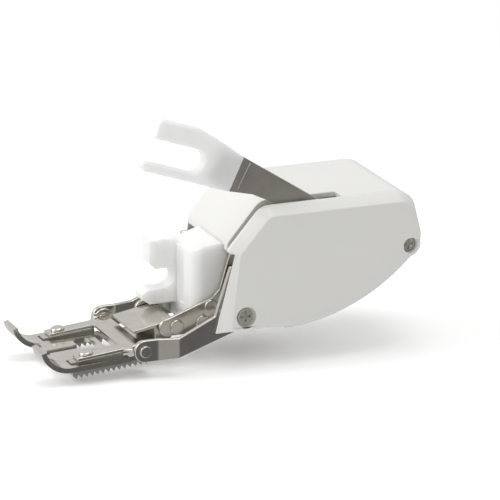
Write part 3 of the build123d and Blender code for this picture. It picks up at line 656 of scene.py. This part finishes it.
cover = editable_copy("right_housing_cover")
leaned = 0
for corner in cover.verts:
    if (corner.co.z < lip_top_z and corner.co.y < lip_back_y
            and corner.co.x < lip_inner_x + tiny):
        corner.co.y -= lip_reach * (lip_top_z - corner.co.z) / (lip_top_z - cover_low.z)
        leaned += 1
print("lip corners leaned:", leaned)

# %% Mark the edges to round
rim_angle = radians(45)
lip_angle = radians(20)
lip_end_y = 12.0 * MM
cover_rounding = (0.2, 3, None)

round_mark = cover.edges.layers.float.new("bevel_weight_edge")
marked = 0
for edge in cover.edges:
    centre = (edge.verts[0].co + edge.verts[1].co) / 2
    on_lip = centre.y < lip_end_y and centre.z < lip_top_z
    if edge.calc_face_angle(0) > (lip_angle if on_lip else rim_angle):
        edge[round_mark] = 1
        marked += 1
print("cover edges to round:", marked)
stand_for(cover, "rolled_cover", "right_housing_cover", "foot", "housing_white", cover_rounding)

# %% [markdown]
# ## The holder's roof
#
# In the photograph the nylon block runs back between the frame's side walls, and its roof slopes
# up until it passes under the hood. The solid stops short of that. A copy of it with its ridge
# and its back corner drawn backwards closes the gap, and a soft radius suits moulded nylon.

# %% Draw the holder back
holder_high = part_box("presser_bar_holder")[1]
ridge_to = (8.6 * MM, 8.8 * MM)
back_to = (10.2 * MM, 7.2 * MM)
holder_rounding = (0.4, 3, sharp_angle, True)

holder = editable_copy("presser_bar_holder")
for corner in holder.verts:
    if corner.co.z > holder_high.z - tiny:
        corner.co.y, corner.co.z = ridge_to
    elif corner.co.y > holder_high.y - tiny and corner.co.z > 0:
        corner.co.y, corner.co.z = back_to
print("holder corners", len(holder.verts))
stand_for(holder, "nylon_holder", "presser_bar_holder", "foot", "nylon", holder_rounding)

# %% [markdown]
# ## The sunk front screw
#
# The front screw sits deep in its hole, and a ring of white plastic shows round its head. A copy
# of the solid with a smaller and lower head shows that ring. The shank and the cross stay.

# %% Sink the screw
screw_low, screw_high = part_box("front_cover_screw")
screw_axis = ((screw_low.y + screw_high.y) / 2, (screw_low.z + screw_high.z) / 2)
head_radius = (screw_high.y - screw_low.y) / 2
head_sink = 0.25 * MM
cross_depth = 0.5 * MM
head_shrink = 0.82
shank_limit = 1.2 * MM

screw = editable_copy("front_cover_screw")
for corner in screw.verts:
    across = Vector((0, corner.co.y - screw_axis[0], corner.co.z - screw_axis[1]))
    if across.length > shank_limit:
        corner.co -= across * (1 - head_shrink)
    if corner.co.x > screw_high.x - cross_depth:
        corner.co.x -= head_sink
print("head radius", round(head_radius * head_shrink / MM, 2), "mm in place of",
      round(head_radius / MM, 2), "mm")
stand_for(
    screw, "sunk_front_screw", "front_cover_screw", "foot", "screw_steel", small_part_rounding
)

# %% [markdown]
# ## The fork's slim lower prong
#
# The lower prong of the nylon fork runs out to a thin point, which slides over the machine's
# needle clamp. The solid ends it blunt. A copy is stretched along the prong, more at its upper
# side than at its lower one, so it ends in a slanted tip.

# %% Draw out the prong
fork_mount = next(
    mount for mount in frame["record"]["mounts"] if mount["name"] == "needle_clamp_fork"
)
prong_way = Vector(fork_mount["axis"]).normalized()
prong_across = prong_way.cross(Vector((1, 0, 0)))
prong_start = 11.0 * MM
prong_top = 24.4 * MM
prong_reach = 1.1 * MM
low_side_share = 0.3
fork_rounding = (0.15, 2)

fork = editable_copy("fork_tip")
prong_corners = [
    corner for corner in fork.verts
    if corner.co.dot(prong_way) > prong_start and corner.co.dot(prong_across) < prong_top
]
prong_end = max(corner.co.dot(prong_way) for corner in prong_corners)
prong_low = min(corner.co.dot(prong_across) for corner in prong_corners)
for corner in prong_corners:
    along = (corner.co.dot(prong_way) - prong_start) / (prong_end - prong_start)
    height = (corner.co.dot(prong_across) - prong_low) / (prong_top - prong_low)
    slant = low_side_share + (1 - low_side_share) * height
    corner.co += prong_way * (prong_reach * along ** 2 * slant)
print("prong corners", len(prong_corners), "drawn out by up to", round(prong_reach / MM, 1), "mm")
stand_for(fork, "nylon_fork", "fork_tip", "lever", "nylon", fork_rounding)

# %% [markdown]
# ## The crease in the lever
#
# Just behind the nylon fork, the steel lever has a fine pressed crease across it, which shows as
# a bright line. It is a low bead on the outer face. A swept half-round, narrower at its ends, is
# enough, because it stands only a quarter of a millimetre proud.

# %% Press the crease
lever_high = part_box("fork_lever")[1]
crease_low = Vector((lever_high.x, 10.3 * MM, 20.4 * MM))
crease_high = Vector((lever_high.x, 13.1 * MM, 25.7 * MM))
crease_width = 0.6 * MM
crease_height = 0.3 * MM
crease_sink = 0.05 * MM
crease_steps = 12
crease_facets = 6
end_bluntness = 0.2
end_fullness = 0.05


def half_round_bead(name, start, end):
    """A half-round bead on a face that looks along +X, drawn in at both ends."""
    mesh = bpy.data.meshes.new(name)
    solid = bmesh.new()
    run = end - start
    across = run.normalized().cross(Vector((1, 0, 0)))
    rings = []
    for step in range(crease_steps + 1):
        share = step / crease_steps
        fullness = sin(pi * share) ** end_bluntness if 0 < share < 1 else end_fullness
        centre = start + run * share
        ring = []
        for facet in range(crease_facets + 1):
            angle = pi * facet / crease_facets
            lift = Vector((sin(angle) * crease_height * fullness - crease_sink, 0, 0))
            aside = across * (cos(angle) * crease_width / 2 * fullness)
            ring.append(solid.verts.new(centre + aside + lift))
        rings.append(ring)
    for first, second in zip(rings, rings[1:]):
        for corner in range(-1, crease_facets):
            solid.faces.new((
                first[corner], first[corner + 1], second[corner + 1], second[corner]
            ))
    solid.faces.new(rings[0])
    solid.faces.new(list(reversed(rings[-1])))
    bmesh.ops.recalc_face_normals(solid, faces=solid.faces)
    solid.to_mesh(mesh)
    solid.free()
    mesh.shade_smooth()
    bead = bpy.data.objects.new(name, mesh)
    scene.collection.objects.link(bead)
    return bead


crease = half_round_bead("lever_crease", crease_low, crease_high)
crease.data.materials.append(lever_steel)
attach(crease, "lever")
print("crease", round((crease_high - crease_low).length / MM, 1), "mm long")

# %% [markdown]
# ## Wound springs
#
# Two springs sit inside the housing. The engineering model keeps them as plain tubes of the
# coils' outer size. Here each is wire: a round section carried along a helix. The return spring
# sits still on its spacer. The walk spring is hooked to the feed carrier at the back; here it is
# wound in place and does not move with the carrier.

# %% A way to wind a spring
wire_facets = 8
steps_per_turn = 24


def wound_spring(name, start, way, side, coil_radius, wire_radius, length, turns):
    """A wire helix of round section, from a start point along a direction."""
    mesh = bpy.data.meshes.new(name)
    solid = bmesh.new()
    up = way.cross(side)
    steps = int(turns * steps_per_turn)
    run = length - 2 * wire_radius
    rings = []
    for step in range(steps + 1):
        share = step / steps
        angle = 2 * pi * turns * share
        outward = side * cos(angle) + up * sin(angle)
        centre = start + way * (wire_radius + run * share) + outward * coil_radius
        ring = []
        for facet in range(wire_facets):
            round_angle = 2 * pi * facet / wire_facets
            section = outward * cos(round_angle) + way * sin(round_angle)
            ring.append(solid.verts.new(centre + section * wire_radius))
        rings.append(ring)
    for first, second in zip(rings, rings[1:]):
        for corner in range(-1, wire_facets - 1):
            solid.faces.new((
                first[corner], first[corner + 1], second[corner + 1], second[corner]
            ))
    solid.faces.new(rings[0])
    solid.faces.new(list(reversed(rings[-1])))
    bmesh.ops.recalc_face_normals(solid, faces=solid.faces)
    solid.to_mesh(mesh)
    solid.free()
    mesh.shade_smooth()
    spring = bpy.data.objects.new(name, mesh)
    spring.data.materials.append(spring_steel)
    scene.collection.objects.link(spring)
    print(name, turns, "turns,", len(mesh.polygons), "faces")
    return spring


# %% Wind the return spring
return_low, return_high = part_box("lever_spring")
return_middle = (return_low + return_high) / 2
return_wire = 0.42 * MM
return_turns = 3
return_radius = (return_high.y - return_low.y) / 2 - return_wire
return_start = Vector((return_low.x, return_middle.y, return_middle.z))
return_coil = wound_spring(
    "return_spring_coil", return_start, Vector((1, 0, 0)), Vector((0, 1, 0)),
    return_radius, return_wire, return_high.x - return_low.x, return_turns,
)
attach(return_coil, "foot")
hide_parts("lever_spring")

# %% Wind the walk spring
walk_low, walk_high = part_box("walk_spring")
walk_middle = (walk_low + walk_high) / 2
walk_wire = 0.2 * MM
walk_turns = 15
walk_radius = (walk_high.x - walk_low.x) / 2 - walk_wire
walk_start = Vector((walk_middle.x, walk_low.y, walk_middle.z))
walk_coil = wound_spring(
    "walk_spring_coil", walk_start, Vector((0, 1, 0)), Vector((1, 0, 0)),
    walk_radius, walk_wire, walk_high.y - walk_low.y, walk_turns,
)
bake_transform(walk_coil)
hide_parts("walk_spring")
